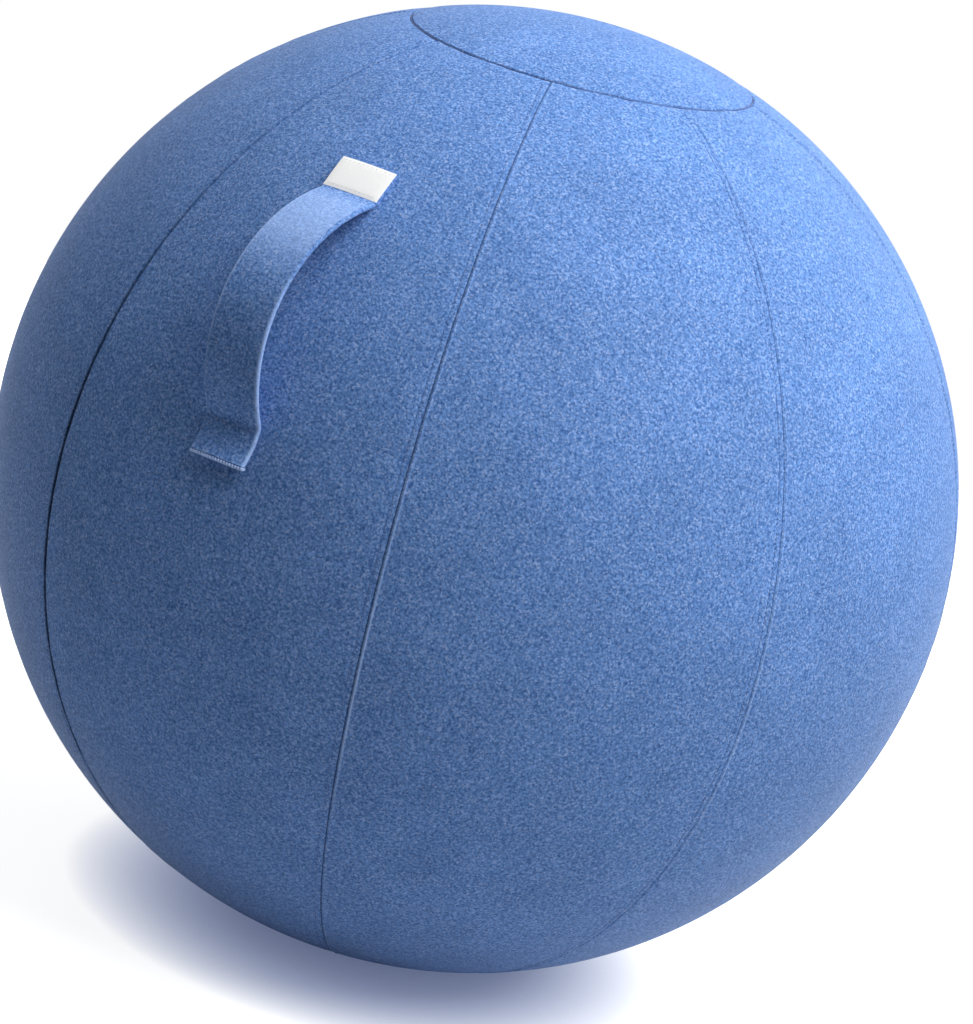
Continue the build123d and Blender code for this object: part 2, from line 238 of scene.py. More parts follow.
def closed_panel(name, outside, inside):
    """A closed panel of cloth from two grids of points, its outer and inner face."""
    rows, columns = outside.shape[:2]
    count = rows * columns
    index = np.arange(count).reshape(rows, columns)
    quads = [index[:-1, :-1], index[1:, :-1], index[1:, 1:], index[:-1, 1:]]
    front = np.stack(quads, -1).reshape(-1, 4)
    back = front[:, ::-1] + count
    edge = np.concatenate([index[:, 0], index[-1, 1:], index[-2::-1, -1], index[0, -2::-1]])
    rim = np.stack([edge[1:], edge[:-1], edge[:-1] + count, edge[1:] + count], -1)
    points = np.concatenate([outside.reshape(-1, 3), inside.reshape(-1, 3)])
    return new_piece(name, points, np.concatenate([front, back, rim]))


# Mottled polyester: spun from light and dark blue fibre in clumps of about 1.7 mm, with pale flecks
# of about 1.1 mm. Real fibres are finer, and are drawn this coarse to show. Its short nap scatters
# the light, so that it is matt, with hardly any gloss even where light grazes it.
def cloth_material(name, nap, wear_and_highlight):
    """The cover's cloth, with a painted highlight where its folds and edges catch the light, and
    painted shade down in the seams' creases.
    """
    made, tree = new_material(name)
    place = add(tree, "ShaderNodeTexCoord").outputs["Object"]
    fibre = add(
        tree,
        "ShaderNodeTexNoise",
        {"Vector": place, "Scale": 1 / 0.0017, "Detail": 3.0, "Roughness": 0.65},
    )
    spread = add(
        tree,
        "ShaderNodeMapRange",
        {"Value": fibre.outputs[0], "From Min": 0.34, "From Max": 0.66},
    )
    blend = add(
        tree,
        "ShaderNodeMix",
        {0: spread.outputs[0], 6: linear("#345a96"), 7: linear("#7098d5")},
        data_type="RGBA",
    )
    fleck = add(tree, "ShaderNodeTexVoronoi", {"Vector": place, "Scale": 1 / 0.0011})
    pick = add(tree, "ShaderNodeSeparateColor", {0: fleck.outputs["Color"]})
    pale = add(
        tree,
        "ShaderNodeMapRange",
        {"Value": pick.outputs[0], "From Min": 0.7, "From Max": 1.0, "To Min": 0.0, "To Max": 0.5},
    )
    flecked = add(
        tree,
        "ShaderNodeMix",
        {0: pale.outputs[0], 6: blend.outputs[2], 7: linear("#abc0ea")},
        data_type="RGBA",
    )
    dye = add(tree, "ShaderNodeTexNoise", {"Vector": place, "Scale": 1 / 0.05, "Detail": 2.0})
    shade = add(
        tree,
        "ShaderNodeMapRange",
        {"Value": dye.outputs[0], "From Min": 0.3, "From Max": 0.7, "To Min": 0.94, "To Max": 1.06},
    )
    tone = add(
        tree,
        "ShaderNodeMix",
        {0: 1.0, 6: flecked.outputs[2], 7: shade.outputs[0]},
        data_type="RGBA",
        blend_type="MULTIPLY",
    )
    # Painted highlight: a pale blue laid where the attribute marks seam beads, strap folds and the
    # strap's upper face, where they catch the light.
    fold = add(tree, "ShaderNodeAttribute", attribute_name="painted_edge_highlight")
    share = add(tree, "ShaderNodeMath", {0: fold.outputs["Fac"], 1: wear_and_highlight}, operation="MULTIPLY")
    tone = add(
        tree,
        "ShaderNodeMix",
        {0: share.outputs[0], 6: tone.outputs[2], 7: linear("#a6c0ee")},
        data_type="RGBA",
    )
    # Painted shade: a dark navy laid down in the seams' creases, where shade falls.
    crease = add(tree, "ShaderNodeAttribute", attribute_name="painted_seam_shade")
    tone = add(
        tree,
        "ShaderNodeMix",
        {0: crease.outputs["Fac"], 6: tone.outputs[2], 7: linear("#101c36")},
        data_type="RGBA",
    )
    heights = {0: fibre.outputs[0], 1: pick.outputs[1]}
    lift = add(tree, "ShaderNodeMath", heights, operation="ADD")
    relief = add(
        tree,
        "ShaderNodeBump",
        {"Height": lift.outputs[0], "Strength": 0.75, "Distance": nap},
    )
    surface = add(
        tree,
        "ShaderNodeBsdfPrincipled",
        {
            "Base Color": tone.outputs[2],
            "Roughness": 0.5,
            "IOR": 1.5,
            "Specular IOR Level": 0.03,
            "Sheen Weight": 0.03,
            "Sheen Roughness": 0.5,
            "Sheen Tint": linear("#eef3fd"),
            "Normal": relief.outputs[0],
        },
    )
    add(tree, "ShaderNodeOutputMaterial", {"Surface": surface.outputs[0]})
    return made


cover_cloth = cloth_material("mottled_polyester_cloth", 0.0005, 0.75)
# Where a panel has its points, in millimetres from a side edge and from an end: close together
# over the roll, the bead and the furrow, and wider apart further in.
EDGE_STEPS = [0, 0.15, 0.35, 0.6, 0.9, 1.2, 1.5, 1.8, 2.1, 2.5, 3.0]
EDGE_STEPS += [3.5, 3.85, 4.2, 4.6, 5.2, 6.2, 8, 11, 16, 24]
END_STEPS = [0, 0.25, 0.6, 1.0, 1.5, 2.1, 2.9, 4.0, 5.6, 8.0, 11.5]


def gore(number):
    """One upright panel, with its seams, its edge stitching's furrow and the pull of the thread."""
    top = CAP + CAP_DITCH / BALL
    foot_gap = ZIP_HALF if number >= FIRST_ZIPPED else SEAM_GAP / 2
    foot = math.pi - CAP - foot_gap / BALL
    length = BALL * (foot - top)
    down = spaced(np.array(END_STEPS) / 1000, length, GORE_ROWS)
    start = FIRST_SEAM + (number - 1) * GORE
    polar = np.repeat((top + down / BALL)[:, None], 2 * len(EDGE_STEPS) + GORE_COLUMNS, 1)
    ring = BALL * np.sin(polar[:, 0])
    following = number % GORES + 1
    pull = SEAM_PULL.get(number, PLAIN_PULL)
    next_pull = SEAM_PULL.get(following, PLAIN_PULL)
    width = ring * GORE - SEAM_GAP * (pull + next_pull) / 2
    across = np.stack([spaced(np.array(EDGE_STEPS) / 1000, w, GORE_COLUMNS) for w in width])
    azimuth = start + (across + SEAM_GAP * pull / 2) / ring[:, None]
    right = width[:, None] - across
    upper = np.repeat(down[:, None], across.shape[1], 1)
    lower = length - upper
    sink = rolled(across, SEAM_ROLL * pull) + rolled(right, SEAM_ROLL * next_pull)
    sink += rolled(upper, CAP_ROLL) + rolled(lower, SEAM_ROLL)
    sink += SEAM_DIP * (np.exp(-across / SEAM_DIP_REACH) + np.exp(-right / SEAM_DIP_REACH))
    sink += CAP_DIP * np.exp(-upper / PUCKER_REACH)
    bead = np.exp(-(((across - BEAD_INSET) / BEAD_HALF) ** 2))
    sink -= BEAD_RISE * bead
    sink += FURROW * np.exp(-(((right - STITCH_INSET) / FURROW_HALF) ** 2))
    sink += PUCKER * np.exp(-across / PUCKER_REACH) * puckers(upper, number)
    sink += PUCKER * np.exp(-right / PUCKER_REACH) * puckers(upper, number + 1)
    around = across - width[:, None] / 2
    sink += CAP_PUCKER * np.exp(-upper / PUCKER_REACH) * puckers(around, CAP_SEED + number)
    outside = on_ball(polar, azimuth, BALL - np.clip(sink, -MOST_RISE, CLOTH - LEAST_CLOTH))
    share = across / width[:, None]
    behind = CAP + (down[:, None] + 0 * across) * (foot - CAP) / length
    inside = on_ball(behind, start + share * GORE, BALL - CLOTH)
    piece = closed_panel(f"gore_{number}", outside, inside)
    # The bead's painted highlight is strongest round the ball's middle, and the crease's painted
    # shade is darker below the cap.
    degrees = np.degrees(polar)
    middle = np.clip((degrees - 68) / 25, 0.15, 1) * np.clip((122 - degrees) / 20, 0.1, 1)
    bead_highlight = bead * middle * BEAD_HIGHLIGHT.get(number, PLAIN_HIGHLIGHT)
    folded = piece.data.attributes.new("painted_edge_highlight", "FLOAT", "POINT")
    folded.data.foreach_set("value", np.concatenate([bead_highlight.ravel(), 0 * bead_highlight.ravel()]))
    near_left = np.exp(-((across / (SEAM_ROLL * pull)) ** 2))
    near_right = np.exp(-((right / (SEAM_ROLL * next_pull)) ** 2))
    deep = SEAM_SHADE.get(number, PLAIN_SHADE) * near_left
    deep += SEAM_SHADE.get(following, PLAIN_SHADE) * near_right
    deep *= np.clip((degrees - 40) / 45, 0.2, 1)
    crease = piece.data.attributes.new("painted_seam_shade", "FLOAT", "POINT")
    crease.data.foreach_set("value", np.concatenate([deep.ravel(), deep.ravel()]))
    dress(piece, cover_cloth)
    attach(piece, "cover")
    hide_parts(f"cover_gore_{number}")


for number in range(1, GORES + 1):
    gore(number)


# Top cap: a round panel of the same cloth that closes the gores' upper ends.
# Its rim turns down into the deepest valley of the cover, drawn in all round by its seam.
CAP_TURNS = 224
CAP_RINGS = 20
CAP_HUB = 0.004
RIM_DIP = 0.0008
RIM_PUCKER = 0.0003
RIM_PUCKER_REACH = 0.009
RIM_WAVES = (19, 31, 44)
RIM_MOST_RISE = 0.0006


def closed_disc(name, outside, inside, middles):
    """A closed round panel from two grids of rings, from the middle out, and two middle points."""
    rings, turns = outside.shape[:2]
    count = rings * turns
    index = np.arange(count).reshape(rings, turns)
    after = np.roll(index, -1, 1)
    front = np.stack([index[:-1], index[1:], after[1:], after[:-1]], -1).reshape(-1, 4)
    back = front[:, ::-1] + count
    rim = np.stack([after[-1], index[-1], index[-1] + count, after[-1] + count], -1)
    hub = np.stack([np.full(turns, 2 * count), index[0], after[0]], -1)
    under = np.stack([np.full(turns, 2 * count + 1), after[0] + count, index[0] + count], -1)
    points = np.concatenate([outside.reshape(-1, 3), inside.reshape(-1, 3), np.array(middles)])
    return new_piece(name, points, [*front, *back, *rim, *hub, *under])


reach = BALL * CAP - CAP_DITCH
rim_steps = np.array(END_STEPS) / 1000
inner_steps = np.linspace(rim_steps[-1], reach - CAP_HUB, CAP_RINGS)[1:]
from_rim = np.concatenate([rim_steps, inner_steps])
polar = ((reach - from_rim[::-1]) / BALL)[:, None] * np.ones(CAP_TURNS)
turn = np.ones(len(from_rim))[:, None] * (np.arange(CAP_TURNS) * math.tau / CAP_TURNS)
inset = from_rim[::-1][:, None] * np.ones(CAP_TURNS)
sink = rolled(inset, CAP_ROLL) + RIM_DIP * np.exp(-inset / PUCKER_REACH)
whole_waves = [np.sin(n * turn + n) for n in RIM_WAVES]
sink += RIM_PUCKER * np.exp(-inset / RIM_PUCKER_REACH) * sum(whole_waves) / len(whole_waves)
top_cap = closed_disc(
    "cap",
    on_ball(polar, turn, BALL - np.clip(sink, -RIM_MOST_RISE, CLOTH - LEAST_CLOTH)),
    on_ball(polar * BALL * CAP / reach, turn, BALL - CLOTH),
    [(0, 0, CENTRE + BALL), (0, 0, CENTRE + BALL - CLOTH)],
)
dress(top_cap, cover_cloth)
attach(top_cap, "cover")
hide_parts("top_cap")


# Base panel: the round panel under the ball, flat where the ball's weight presses it to the floor.
# Its rim is sewn to three gores and, for the other five, is the zip's edge.
BASE_TURNS = 448
ZIP_START = FIRST_SEAM + 3 * GORE
ZIP_SWEEP = 5 * GORE
ZIP_END_EASE = 0.006
FLAT_SHARES = (0.06, 0.25, 0.45, 0.65, 0.82, 0.93, 1.0)
SLOPE = 0.0539
SLOPE_STEPS = np.linspace(0.003, 0.042, 10)
BASE_DIP = 0.0004
BASE_DIP_REACH = 0.006
turn = np.arange(BASE_TURNS) * math.tau / BASE_TURNS
past = np.mod(turn - ZIP_START, math.tau)
open_here = np.clip(np.minimum(past, ZIP_SWEEP - past) / ZIP_END_EASE + 1, 0, 1)
rim_gap = SEAM_GAP / 2 + (ZIP_HALF - SEAM_GAP / 2) * open_here
flat_angle = math.asin(FOOT_RADIUS / BALL)
rim_reach = BALL * (CAP - flat_angle) - rim_gap
outside = []
inside = []
for share in FLAT_SHARES:
    size = share * FOOT_RADIUS
    spot = np.stack([size * np.cos(turn), size * np.sin(turn), 0 * turn], -1)
    outside.append(spot)
    inside.append(spot + [0, 0, CLOTH])
for distance in np.concatenate([SLOPE_STEPS, SLOPE - rim_steps[::-1]]):
    share = distance / SLOPE
    polar = math.pi - (flat_angle + share * rim_reach / BALL)
    inset = (1 - share) * rim_reach
    dip = BASE_DIP * np.exp(-inset / BASE_DIP_REACH) * (1 - open_here)
    outside.append(on_ball(polar, turn, BALL - (rolled(inset, SEAM_ROLL) + dip)))
    inside.append(on_ball(polar, turn, BALL - CLOTH))
outside = np.array(outside)[:, ::-1]
inside = np.array(inside)[:, ::-1]
base_panel = closed_disc("base", outside, inside, [(0, 0, 0), (0, 0, CLOTH)])
dress(base_panel, cover_cloth)
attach(base_panel, "cover")
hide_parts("base_panel")


# Sewing: polyester thread a shade darker than the cloth. A row of edge stitching runs beside each
# upright seam, every stitch pulled down into its furrow, and one thread lies deep in the cap's and
# the base's seam.
STITCH_PITCH = 0.0031
STITCH_LENGTH = 0.0022
STITCH_DEPTH = 0.0004
THREAD = 0.0005
THREAD_SIDES = 6
ROW_FROM_CAP = 0.008
ROW_FROM_BASE = 0.016
# Along a stitch, as shares: place in its length, then height and half width in its thickness.
STITCH_FORM = (
    (-0.5, -0.8, 0.3),
    (-0.34, 0.1, 0.46),
    (0, 0.3, 0.5),
    (0.34, 0.1, 0.46),
    (0.5, -0.8, 0.3),
)
# Twisted polyester: smooth filament, so it has a slight sheen, with the twist as a 0.8 mm mottle.
thread, tree = new_material("twisted_polyester_thread")
place = add(tree, "ShaderNodeTexCoord").outputs["Object"]
twist = add(tree, "ShaderNodeTexNoise", {"Vector": place, "Scale": 1 / 0.0008, "Detail": 2.0})
tone = add(
    tree,
    "ShaderNodeMix",
    {0: twist.outputs[0], 6: linear("#1d3768"), 7: linear("#2f5290")},
    data_type="RGBA",
)
relief = add(
    tree,
    "ShaderNodeBump",
    {"Height": twist.outputs[0], "Strength": 0.5, "Distance": 0.0001},
)
surface = add(
    tree,
    "ShaderNodeBsdfPrincipled",
    {
        "Base Color": tone.outputs[2],
        "Roughness": 0.55,
        "Sheen Weight": 0.2,
        "Normal": relief.outputs[0],
    },
)
add(tree, "ShaderNodeOutputMaterial", {"Surface": surface.outputs[0]})
dress(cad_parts["cap_thread"], thread)
dress(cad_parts["base_thread"], thread)


def stitches(name, places, along, out, length, thickness):
    """Separate stitches: short threads that lie on the cloth with both ends drawn into it."""
    side = np.cross(along, out)
    points = []
    for share, lift, size in STITCH_FORM:
        middle = places + along * share * length + out * lift * thickness
        for a in np.arange(THREAD_SIDES) * math.tau / THREAD_SIDES:
            around = side * math.cos(a) + out * math.sin(a)
            points.append(middle + around * size * thickness)
    rings = len(STITCH_FORM)
    count = len(places)
    number = np.arange(rings * THREAD_SIDES * count).reshape(rings, THREAD_SIDES, count)
    faces = []
    for ring in range(rings - 1):
        for k in range(THREAD_SIDES):
            n = (k + 1) % THREAD_SIDES
            quad = [number[ring, k], number[ring + 1, k], number[ring + 1, n], number[ring, n]]
            faces.append(np.stack(quad, -1))
    faces = list(np.concatenate(faces))
    faces += list(number[0].T)
    faces += list(number[-1].T[:, ::-1])
    return new_piece(name, np.array(points).reshape(-1, 3), faces)


row_start = CAP * BALL + ROW_FROM_CAP
row_end = (math.pi - CAP) * BALL - ROW_FROM_BASE
row = np.arange(row_start, row_end, STITCH_PITCH) / BALL
places = []
along = []
out = []
for number in range(GORES):
    turn = FIRST_SEAM + number * GORE - STITCH_INSET / (BALL * np.sin(row))
    places.append(on_ball(row, turn, np.full(len(row), BALL - STITCH_DEPTH)))
    out.append(on_ball(row, turn, 1.0) - [0, 0, CENTRE])
    along.append(on_ball(row + math.pi / 2, turn, 1.0) - [0, 0, CENTRE])
rows = [np.concatenate(part) for part in (places, along, out)]
edge_stitching = stitches("edge_stitching", *rows, STITCH_LENGTH, THREAD)
dress(edge_stitching, thread)
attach(edge_stitching, "cover")
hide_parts("gore_stitching")


# Zip: two woven polyester tapes sewn into the edges of the base seam, each with a row of moulded
# teeth clamped on its edge. The slider and its pull are die-cast and painted; metal stops end the
# chain.
BASE = math.pi - CAP
TAPE = 0.0005
TAPE_MIDDLE = BALL - CLOTH / 2
TAPE_FROM = 0.0009
TAPE_TO = 0.0122
TAPE_COLUMNS = 9
TAPE_ROWS = 260
TAPE_END = 0.002
# Woven tape: a matt face of tight picks about 0.7 mm apart, which show as small dark dents.
tape_cloth, tree = new_material("woven_zip_tape")
place = add(tree, "ShaderNodeTexCoord").outputs["Object"]
weave = add(tree, "ShaderNodeTexVoronoi", {"Vector": place, "Scale": 1 / 0.0007})
tone = add(
    tree,
    "ShaderNodeMix",
    {0: weave.outputs["Distance"], 6: linear("#25395f"), 7: linear("#34507f")},
    data_type="RGBA",
)
relief = add(
    tree,
    "ShaderNodeBump",
    {"Height": weave.outputs["Distance"], "Strength": 0.6, "Distance": 0.0002},
)
surface = add(
    tree,
    "ShaderNodeBsdfPrincipled",
    {
        "Base Color": tone.outputs[2],
        "Roughness": 0.8,
        "Sheen Weight": 0.2,
        "Normal": relief.outputs[0],
    },
)
add(tree, "ShaderNodeOutputMaterial", {"Surface": surface.outputs[0]})
for name, side in (("outer", -1), ("inner", 1)):
    across = np.sort(side * np.linspace(TAPE_FROM, TAPE_TO, TAPE_COLUMNS))
    turn = ZIP_START + np.linspace(TAPE_END, ZIP_SWEEP - TAPE_END, TAPE_ROWS)
    polar = (BASE + across / BALL)[:, None] * np.ones(len(turn))
    turn = np.ones(len(across))[:, None] * turn
    tape = closed_panel(
        f"zip_tape_{name}_woven",
        on_ball(polar, turn, TAPE_MIDDLE + TAPE / 2),
        on_ball(polar, turn, TAPE_MIDDLE - TAPE / 2),
    )
    dress(tape, tape_cloth)
    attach(tape, "cover")
    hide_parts(f"zip_tape_{name}")

# Moulded acetal: hard, smooth and slightly waxy, dyed to match the tape.
acetal, tree = new_material("moulded_acetal")
place = add(tree, "ShaderNodeTexCoord").outputs["Object"]
cloud = add(tree, "ShaderNodeTexNoise", {"Vector": place, "Scale": 1 / 0.003, "Detail": 2.0})
tone = add(
    tree,
    "ShaderNodeMix",
    {0: cloud.outputs[0], 6: linear("#22324f"), 7: linear("#2e436b")},
    data_type="RGBA",
)
surface = add(
    tree,
    "ShaderNodeBsdfPrincipled",
    {"Base Color": tone.outputs[2], "Roughness": 0.35, "IOR": 1.48},
)
add(tree, "ShaderNodeOutputMaterial", {"Surface": surface.outputs[0]})
# A tooth's outline in millimetres, along the chain and out from its middle line: a stem on the
# tape and a wider head. Its four levels give it softened upper and lower edges.
STEM = [(-0.55, 2.2), (-0.42, 1.4)]
HEAD = [(-0.7, 1.0), (-0.45, 0.5), (0.45, 0.5), (0.7, 1.0)]
TOOTH = [*STEM, *HEAD, (0.42, 1.4), (0.55, 2.2)]
TOOTH_MIDDLE = 1.35
TOOTH_LEVELS = ((-0.7, 0.9), (-0.55, 1.0), (0.55, 1.0), (0.7, 0.9))
PITCH = 0.003 / PANEL_RADIUS
CHAIN_START = 0.005 / PANEL_RADIUS
teeth_count = int((ZIP_SWEEP - 2 * CHAIN_START) / PITCH) - 1
sides = len(TOOTH)
for name, side, shift in (("outer", -1, 0.0), ("inner", 1, 0.5)):
    points = []
    faces = []
    for number in range(teeth_count):
        turn = ZIP_START + CHAIN_START + (number + 0.5 + shift) * PITCH
        first = len(points)
        for height, share in TOOTH_LEVELS:
            for t, s in TOOTH:
                out_from_middle = TOOTH_MIDDLE + (s - TOOTH_MIDDLE) * share
                polar = BASE + side * out_from_middle / 1000 / BALL
                ring = BALL * math.sin(polar)
                place = np.array(turn + t * share / 1000 / ring)
                points.append(on_ball(np.array(polar), place, TAPE_MIDDLE + height / 1000))
        for level in range(len(TOOTH_LEVELS) - 1):
            for k in range(sides):
                a = first + sides * level + k
                b = first + sides * level + (k + 1) % sides
                quad = (a, b, b + sides, a + sides)
                faces.append(quad if side < 0 else quad[::-1])
        bottom = tuple(range(first, first + sides))
        top = tuple(k + sides * (len(TOOTH_LEVELS) - 1) for k in bottom)
        faces.append(bottom[::-1] if side < 0 else bottom)
        faces.append(top if side < 0 else top[::-1])
    teeth = new_piece(f"zip_teeth_{name}_moulded", points, faces)
    dress(teeth, acetal)
    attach(teeth, "cover")
    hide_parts(f"zip_teeth_{name}")

# Painted zinc: die-cast, tumbled so that its edges are soft, with a thin dark satin paint.
TUMBLED_EDGE = 0.00012
zinc, tree = new_material("painted_die_cast_zinc")
place = add(tree, "ShaderNodeTexCoord").outputs["Object"]
wear_and_highlight = add(tree, "ShaderNodeTexNoise", {"Vector": place, "Scale": 1 / 0.002, "Detail": 3.0})
tone = add(
    tree,
    "ShaderNodeMix",
    {0: wear_and_highlight.outputs[0], 6: linear("#2a3550"), 7: linear("#3d4b6e")},
    data_type="RGBA",
)
gloss = add(
    tree,
    "ShaderNodeMapRange",
    {"Value": wear_and_highlight.outputs[0], "From Min": 0.3, "From Max": 0.7, "To Min": 0.28, "To Max": 0.42},
)
surface = add(
    tree,
    "ShaderNodeBsdfPrincipled",
    {"Base Color": tone.outputs[2], "Roughness": gloss.outputs[0], "Coat Weight": 0.3},
)
add(tree, "ShaderNodeOutputMaterial", {"Surface": surface.outputs[0]})
for name in ("zip_slider", "zip_pull", "zip_stops"):
    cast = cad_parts[name]
    dress(cast, zinc)
    soften = cast.modifiers.new("tumbled_edges", "BEVEL")
    soften.width = TUMBLED_EDGE
    soften.segments = 2
    soften.limit_method = "ANGLE"


# Carrying handle: one strap of the cover's cloth folded to about 3 mm and 40 mm wide. Both ends
# are laid flat on the gore and sewn down, and between them it stands off the ball in a low arch for
# the hand. It is sewn on a little askew, its lower end to the right, and that end lifts.
STRAP_WIDTH = 0.04
STRAP = 0.003
HANDLE_TOP = math.radians(47.7)
HANDLE_FOOT = math.radians(75.5)
HANDLE_RISE = 0.0385
HANDLE_SKEW = 0.26
HANDLE_LEAN = 1.9
LEAN_PIVOT = 17.7
TAB_LENGTH = 0.025
TAB = TAB_LENGTH / BALL
TAB_EASE = 0.02
SEAT = 0.00005
END_CURL = 0.016
END_LIFT = 0.0045
STRAP_CROWN = 0.0008
FOLD = 0.0012
FOLD_BULGE = 1.1
FOLD_STEPS = 5
FACE_STEPS = (0.0178, 0.0168, 0.012, 0.006, 0.0, -0.006, -0.012, -0.0168, -0.0178)
EDGE_HIGHLIGHT_WIDTH = 0.0013
FACE_HIGHLIGHT_HALF = 0.018
PAINTED_FACE_HIGHLIGHT = 0.75
lean_from = HANDLE_TOP - math.radians(LEAN_PIVOT)
lean_axis = Vector((0, -math.sin(lean_from), math.cos(lean_from)))
lean = np.array(Matrix.Rotation(math.radians(HANDLE_LEAN), 3, lean_axis))


def leaned(points):
    """Points of the handle turned with it."""
    return (points - [0, 0, CENTRE]) @ lean.T + [0, 0, CENTRE]


def before_ball(polar, radius, across):
    """Points of the handle, by angle from the top, distance from the centre and side."""
    ring = np.sqrt(radius**2 - across**2)
    upright = CENTRE + ring * np.cos(polar)
    return leaned(np.stack([across + 0 * ring, -ring * np.sin(polar), upright], -1))


# The strap's middle line, as angle from the top and distance from the centre, then as places.
line = BALL + SEAT + STRAP / 2
f = np.linspace(0, 1, 600)
tab_top = np.stack([np.linspace(HANDLE_TOP - TAB, HANDLE_TOP, 100), np.full(100, line)], -1)
rise = 4 * HANDLE_RISE * f * (1 - f) * (1 + HANDLE_SKEW * (f - 0.5))
arch = np.stack([HANDLE_TOP + f * (HANDLE_FOOT - HANDLE_TOP), line + rise], -1)
tab_foot = np.stack([np.linspace(HANDLE_FOOT, HANDLE_FOOT + TAB, 100), np.full(100, line)], -1)
way = np.concatenate([tab_top, arch[1:-1], tab_foot])
path = np.stack([-way[:, 1] * np.sin(way[:, 0]), CENTRE + way[:, 1] * np.cos(way[:, 0])], -1)
run = np.concatenate([[0], np.cumsum(np.linalg.norm(np.diff(path, axis=0), axis=1))])
even = np.linspace(0, run[-1], 900)
path = np.stack([np.interp(even, run, path[:, k]) for k in range(2)], -1)
# The folds at the sewn ends are soft, so the line is eased over about 2 mm there.
EASE = 24
weight = np.exp(-0.5 * (np.arange(-EASE, EASE + 1) / (EASE / 3)) ** 2)
weight /= weight.sum()
eased = path.copy()
for k in range(2):
    before = 2 * path[0, k] - path[EASE:0:-1, k]
    beyond = 2 * path[-1, k] - path[-2 : -EASE - 2 : -1, k]
    eased[:, k] = np.convolve(np.concatenate([before, path[:, k], beyond]), weight, "valid")
path = eased[::5]
run = even[::5]
strap_length = run[-1]
forward = np.gradient(path, axis=0)
forward /= np.linalg.norm(forward, axis=1)[:, None]
outward = np.stack([-forward[:, 1], forward[:, 0]], -1)
outward *= np.sign((outward * (path - [0, CENTRE])).sum(1))[:, None]
# The strap's section: flat faces between two round folds that bulge a little.
profile = []
half = STRAP_WIDTH / 2
thick = STRAP / 2
for sx, sy, first in ((1, 1, 0), (-1, 1, 90), (-1, -1, 180), (1, -1, 270)):
    for step in range(FOLD_STEPS):
        a = math.radians(first + step * 90 / (FOLD_STEPS - 1))
        edge = sy * (thick - FOLD) + FOLD * math.sin(a)
        profile.append((sx * (half - FOLD) + FOLD * math.cos(a), FOLD_BULGE * edge))
    if sx == sy:
        profile += [(sx * x, sy * thick) for x in FACE_STEPS]
profile = np.array(profile)
sides = len(profile)
from_tab = np.minimum(run - TAB_LENGTH, strap_length - TAB_LENGTH - run)
flat = np.clip(1 - from_tab / TAB_EASE, 0, 1)
points = []
for i in range(len(path)):
    x = profile[:, 0]
    hug = flat[i] * x**2 / (2 * BALL)
    crown = (1 - flat[i]) * STRAP_CROWN * (x / half) ** 2
    lift = END_LIFT * max(0.0, (run[i] - (strap_length - END_CURL)) / END_CURL) ** 2
    height = profile[:, 1] - hug - crown + lift
    spot = path[i][None, :] + outward[i][None, :] * height[:, None]
    points.append(np.stack([x, spot[:, 0], spot[:, 1]], -1))
points = leaned(np.array(points))
index = np.arange(len(path) * sides).reshape(len(path), sides)
after = np.roll(index, -1, 1)
skin = np.stack([index[:-1], after[:-1], after[1:], index[1:]], -1).reshape(-1, 4)
faces = [*skin[:, ::-1], tuple(index[0]), tuple(index[-1][::-1])]
strap = new_piece("handle_strap_sewn", points.reshape(-1, 3), faces)
# Its folds and the upper half of its face are painted pale, a painted highlight where they catch the
# light, by shares of its length from the top.
folded = strap.data.attributes.new("painted_edge_highlight", "FLOAT", "POINT")
share = (run / strap_length)[:, None]
right_edge = (profile[:, 0] > half - EDGE_HIGHLIGHT_WIDTH) * np.clip((share - 0.42) / 0.2, 0, 1)
left_edge = (profile[:, 0] < EDGE_HIGHLIGHT_WIDTH - half) * np.clip((0.85 - share) / 0.25, 0.3, 1)
# Painted highlight on the upper half of the strap's face, where the light falls on it.
upper_half = np.clip((share - 0.1) / 0.08, 0, 1) * np.clip((0.5 - share) / 0.16, 0, 1)
on_face = (profile[:, 1] > 0) * (np.abs(profile[:, 0]) < FACE_HIGHLIGHT_HALF)
face_highlight_mask = PAINTED_FACE_HIGHLIGHT * on_face * upper_half
folded.data.foreach_set("value", (right_edge + left_edge + face_highlight_mask).ravel())
strap_cloth = cloth_material("mottled_polyester_strap", 0.0004, 0.5)
dress(strap, strap_cloth)
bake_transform(strap)
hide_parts("handle_strap", "handle_upper_end", "handle_lower_end")


# Label: a white woven label, left bare, laid over the strap's upper end and sewn down with it.
# Its lower edge stands a little proud of the strap, which comes out from under it.
LABEL = 0.00045
LABEL_SHORT = 0.0012
LABEL_SWELL = 0.00035
LABEL_SWELL_REACH = 0.003
RIB = 0.0008
# White woven label: a close satin weave, white with a soft sheen and fine ribs. A wave texture
# repeats every 0.314 of its scale's inverse, so that the ribs lie about 0.8 mm apart.
label_weave, tree = new_material("white_woven_label")
place = add(tree, "ShaderNodeTexCoord").outputs["Object"]
rib = add(
    tree,
    "ShaderNodeTexWave",
    {"Vector": place, "Scale": 1 / RIB / 3.14, "Distortion": 0.6, "Detail": 1.0},
)
fuzz = add(tree, "ShaderNodeTexNoise", {"Vector": place, "Scale": 1 / 0.0012, "Detail": 3.0})
tone = add(
    tree,
    "ShaderNodeMix",
    {0: fuzz.outputs[0], 6: linear("#e2e4e6"), 7: linear("#f2f2ef")},
    data_type="RGBA",
)
relief = add(
    tree,
    "ShaderNodeBump",
    {"Height": rib.outputs[1], "Strength": 0.3, "Distance": 0.0001},
)
surface = add(
    tree,
    "ShaderNodeBsdfPrincipled",
    {
        "Base Color": tone.outputs[2],
        "Roughness": 0.6,
        "Sheen Weight": 0.2,
        "Normal": relief.outputs[0],
    },
)
add(tree, "ShaderNodeOutputMaterial", {"Surface": surface.outputs[0]})
